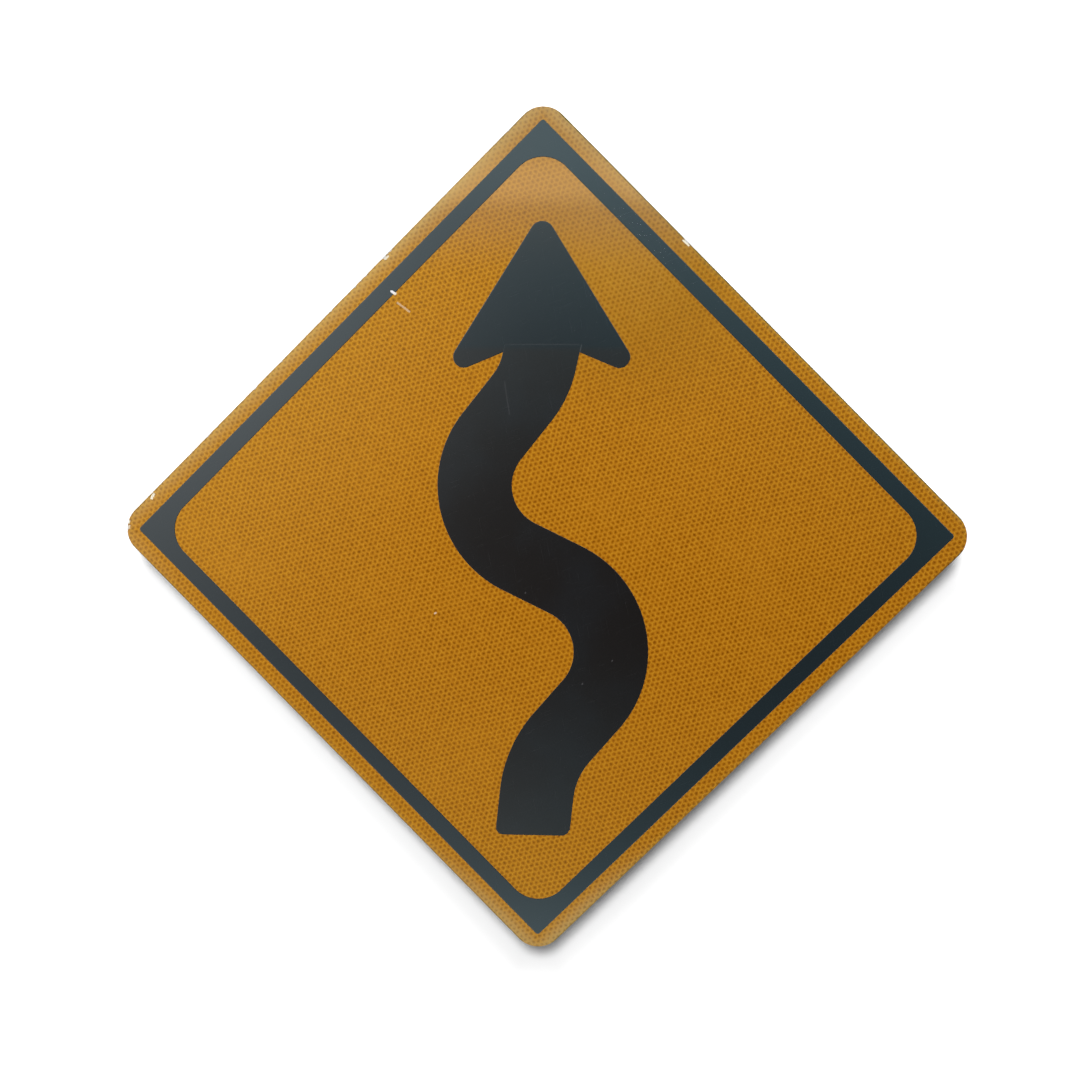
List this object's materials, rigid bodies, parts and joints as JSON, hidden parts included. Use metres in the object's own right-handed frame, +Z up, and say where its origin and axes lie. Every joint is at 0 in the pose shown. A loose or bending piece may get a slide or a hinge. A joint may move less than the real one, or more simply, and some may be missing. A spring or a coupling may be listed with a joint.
{
  "type": "winding road sign",
  "caption": "Diamond warning sign with a black winding arrow on reflective yellow sheeting, carried on slotted ribs that clamp to a round post.",
  "frame": {"origin": "on the post's axis, level with the plate's centre", "axes": "+Z up along the post, -Y out of the sign's face, +X to the right as seen from the front"},
  "size_m": [0.6198, 0.0812, 0.6198],
  "materials": {
    "plate_aluminium": "mill-finish sheet, dulled by weather",
    "reflective_yellow": "yellow retroreflective sheeting with a fine honeycomb of cells",
    "black_film": "smooth black cut film, slightly glossy",
    "rib_aluminium": "extruded, with fine lines along its length",
    "galvanised_steel": "hot-dip galvanised, spangled grey",
    "zinc_fasteners": "zinc plated"
  },
  "bodies": {
    "post_clamps": {"clamp_band_upper": "galvanised_steel", "clamp_band_lower": "galvanised_steel", "bolt_upper_left": "zinc_fasteners", "bolt_upper_right": "zinc_fasteners", "bolt_lower_left": "zinc_fasteners", "bolt_lower_right": "zinc_fasteners", "flat_washer_upper_left": "zinc_fasteners", "flat_washer_upper_right": "zinc_fasteners", "flat_washer_lower_left": "zinc_fasteners", "flat_washer_lower_right": "zinc_fasteners"},
    "sign_panel": {"sign_plate": "plate_aluminium", "reflective_sheet": "reflective_yellow", "border_frame": "black_film", "arrow_stem": "black_film", "arrow_head": "black_film", "rib_upper": "rib_aluminium", "rib_lower": "rib_aluminium"},
    "spring_washer_upper_left": {"spring_washer_upper_left": "zinc_fasteners"},
    "nut_upper_left": {"nut_upper_left": "zinc_fasteners"},
    "spring_washer_upper_right": {"spring_washer_upper_right": "zinc_fasteners"},
    "nut_upper_right": {"nut_upper_right": "zinc_fasteners"},
    "spring_washer_lower_left": {"spring_washer_lower_left": "zinc_fasteners"},
    "nut_lower_left": {"nut_lower_left": "zinc_fasteners"},
    "spring_washer_lower_right": {"spring_washer_lower_right": "zinc_fasteners"},
    "nut_lower_right": {"nut_lower_right": "zinc_fasteners"}
  },
  "joints": [
    {"name": "panel_slide", "type": "slide", "parent": "post_clamps", "child": "sign_panel", "axis": [1, 0, 0], "range_m": [-0.09, 0.09]},
    {"name": "nut_travel_upper_left", "type": "slide", "parent": "post_clamps", "child": "spring_washer_upper_left", "axis": [0, 1, 0], "range_m": [0, 0.006]},
    {"name": "nut_turn_upper_left", "type": "hinge", "parent": "spring_washer_upper_left", "child": "nut_upper_left", "pos_m": [-0.04695, -0.01945, 0.11], "axis": [0, 1, 0], "range_deg": [0, 1728]},
    {"name": "nut_travel_upper_right", "type": "slide", "parent": "post_clamps", "child": "spring_washer_upper_right", "axis": [0, 1, 0], "range_m": [0, 0.006]},
    {"name": "nut_turn_upper_right", "type": "hinge", "parent": "spring_washer_upper_right", "child": "nut_upper_right", "pos_m": [0.04695, -0.01945, 0.11], "axis": [0, 1, 0], "range_deg": [0, 1728]},
    {"name": "nut_travel_lower_left", "type": "slide", "parent": "post_clamps", "child": "spring_washer_lower_left", "axis": [0, 1, 0], "range_m": [0, 0.006]},
    {"name": "nut_turn_lower_left", "type": "hinge", "parent": "spring_washer_lower_left", "child": "nut_lower_left", "pos_m": [-0.04695, -0.01945, -0.11], "axis": [0, 1, 0], "range_deg": [0, 1728]},
    {"name": "nut_travel_lower_right", "type": "slide", "parent": "post_clamps", "child": "spring_washer_lower_right", "axis": [0, 1, 0], "range_m": [0, 0.006]},
    {"name": "nut_turn_lower_right", "type": "hinge", "parent": "spring_washer_lower_right", "child": "nut_lower_right", "pos_m": [0.04695, -0.01945, -0.11], "axis": [0, 1, 0], "range_deg": [0, 1728]}
  ],
  "couplings": [
    {"joint": "nut_travel_upper_left", "follows": "nut_turn_upper_left", "m_per_rad": 0.00019894},
    {"joint": "nut_travel_upper_right", "follows": "nut_turn_upper_right", "m_per_rad": 0.00019894},
    {"joint": "nut_travel_lower_left", "follows": "nut_turn_lower_left", "m_per_rad": 0.00019894},
    {"joint": "nut_travel_lower_right", "follows": "nut_turn_lower_right", "m_per_rad": 0.00019894}
  ]
}
